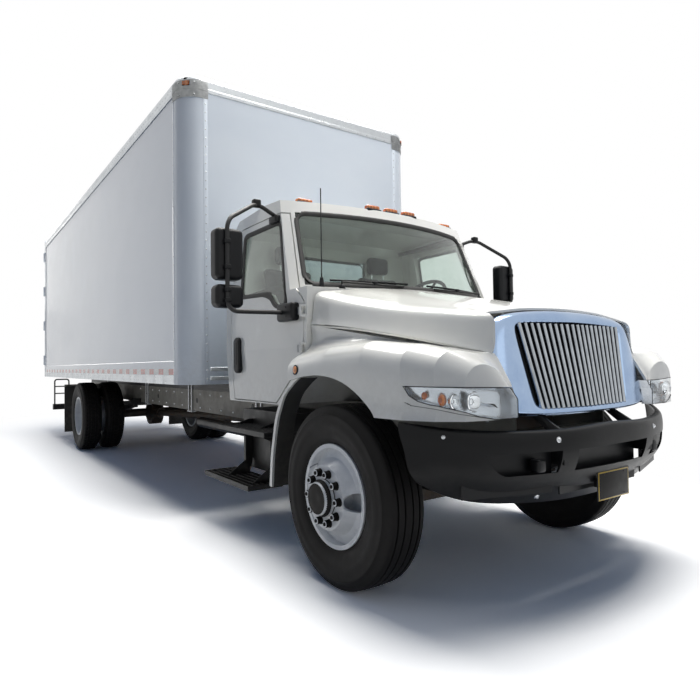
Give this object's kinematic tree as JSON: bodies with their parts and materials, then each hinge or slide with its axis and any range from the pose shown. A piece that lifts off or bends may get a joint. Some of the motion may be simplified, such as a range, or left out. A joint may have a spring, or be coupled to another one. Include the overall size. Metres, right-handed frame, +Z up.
{
  "type": "box truck",
  "caption": "Conventional-cab delivery truck with a tilting hood, dry freight body and swing rear doors; wheels steer and spin and every door opens.",
  "frame": {"origin": "on the ground, at the middle of the outline seen from above", "axes": "-Y towards the front bumper, +Z up, +X to the driver's side (left)"},
  "size_m": [3.024, 11.036, 3.838],
  "materials": {
    "cab_paint": "gloss white paint, fine orange peel, light road dust low down",
    "body_paint": "smooth gloss white sheet",
    "bright_rail": "satin extruded aluminium",
    "frame_paint": "semi-gloss grey chassis paint",
    "black_steel": "satin black paint",
    "bumper_paint": "dark grey satin paint",
    "cast_iron": "rough casting",
    "chrome": "bright plated",
    "wheel_paint": "gloss white with road dust",
    "tyre": "matt black rubber",
    "rubber": "matt black sheet rubber",
    "glass": "clear, faint green tint",
    "lamp_lens": "amber and red ribbed lens",
    "headlamp_lens": "clear lens over chrome bowl",
    "cab_trim": "grained dark grey",
    "seat_cloth": "dark woven cloth",
    "polished_aluminium": "brushed",
    "mirror_body": "satin black moulding",
    "floor_board": "sealed hardwood boards on steel sills"
  },
  "bodies": {
    "truck": {"frame": "frame_paint", "front_axle": "cast_iron", "rear_axle": "cast_iron", "leaf_springs": "black_steel", "engine": "cast_iron", "driveline": "cast_iron", "radiator": "black_steel", "box_floor": "floor_board", "box_sides": "body_paint", "box_front": "body_paint", "box_roof": "bright_rail", "rear_frame": "body_paint", "cab_shell": "cab_paint", "cab_glass": "glass", "dashboard": "cab_trim", "seats": "seat_cloth", "front_bumper": "bumper_paint", "fuel_tank": "polished_aluminium", "exhaust": "black_steel", "cab_steps": "black_steel", "rear_guard": "black_steel", "mudflaps": "rubber", "lamps": "lamp_lens", "wipers_and_aerial": "black_steel"},
    "knuckle_left": {"knuckle_left": "cast_iron"},
    "knuckle_right": {"knuckle_right": "cast_iron"},
    "front_wheel_left": {"front_tyre_left": "tyre", "front_wheel_left": "wheel_paint"},
    "front_wheel_right": {"front_tyre_right": "tyre", "front_wheel_right": "wheel_paint"},
    "rear_wheels_left": {"rear_tyres_left": "tyre", "rear_wheels_left": "wheel_paint"},
    "rear_wheels_right": {"rear_tyres_right": "tyre", "rear_wheels_right": "wheel_paint"},
    "steering_wheel": {"steering_wheel": "cab_trim"},
    "cab_door_left": {"door_left": "cab_paint", "door_glass_left": "glass", "mirror_left": "mirror_body"},
    "cab_door_right": {"door_right": "cab_paint", "door_glass_right": "glass", "mirror_right": "mirror_body"},
    "hood": {"hood": "cab_paint", "fenders": "cab_paint", "grille": "chrome", "headlamps": "headlamp_lens"},
    "rear_door_left": {"rear_door_left": "body_paint"},
    "rear_door_right": {"rear_door_right": "body_paint"}
  },
  "joints": [
    {"name": "steer_left", "type": "hinge", "parent": "truck", "child": "knuckle_left", "pos_m": [0.866, -4.453, 0.526], "axis": [0, 0, 1], "range_deg": [-40, 40]},
    {"name": "steer_right", "type": "hinge", "parent": "truck", "child": "knuckle_right", "pos_m": [-0.866, -4.453, 0.526], "axis": [0, 0, 1], "range_deg": [-40, 40]},
    {"name": "front_wheel_left_spin", "type": "hinge", "parent": "knuckle_left", "child": "front_wheel_left", "pos_m": [1.01, -4.453, 0.526], "axis": [1, 0, 0], "continuous": true},
    {"name": "front_wheel_right_spin", "type": "hinge", "parent": "knuckle_right", "child": "front_wheel_right", "pos_m": [-1.01, -4.453, 0.526], "axis": [1, 0, 0], "continuous": true},
    {"name": "rear_wheels_left_spin", "type": "hinge", "parent": "truck", "child": "rear_wheels_left", "pos_m": [1.086, 2.527, 0.526], "axis": [1, 0, 0], "continuous": true},
    {"name": "rear_wheels_right_spin", "type": "hinge", "parent": "truck", "child": "rear_wheels_right", "pos_m": [-1.086, 2.527, 0.526], "axis": [1, 0, 0], "continuous": true},
    {"name": "steering_wheel_turn", "type": "hinge", "parent": "truck", "child": "steering_wheel", "pos_m": [0.5, -3.523, 1.83], "axis": [0, 0.6691, 0.7431], "range_deg": [-720, 720]},
    {"name": "cab_door_left_swing", "type": "hinge", "parent": "truck", "child": "cab_door_left", "pos_m": [1.04, -3.985, 1.52], "axis": [0, 0, -1], "range_deg": [0, 70]},
    {"name": "cab_door_right_swing", "type": "hinge", "parent": "truck", "child": "cab_door_right", "pos_m": [-1.04, -3.985, 1.52], "axis": [0, 0, 1], "range_deg": [0, 70]},
    {"name": "hood_tilt", "type": "hinge", "parent": "truck", "child": "hood", "pos_m": [0, -5.413, 0.898], "axis": [1, 0, 0], "range_deg": [0, 55]},
    {"name": "rear_door_left_swing", "type": "hinge", "parent": "truck", "child": "rear_door_left", "pos_m": [1.29, 5.499, 2.518], "axis": [0, 0, -1], "range_deg": [0, 270]},
    {"name": "rear_door_right_swing", "type": "hinge", "parent": "truck", "child": "rear_door_right", "pos_m": [-1.29, 5.499, 2.518], "axis": [0, 0, 1], "range_deg": [0, 270]}
  ],
  "couplings": [
    {"joint": "steer_right", "follows": "steer_left", "ratio": 1},
    {"joint": "steering_wheel_turn", "follows": "steer_left", "ratio": 18}
  ]
}
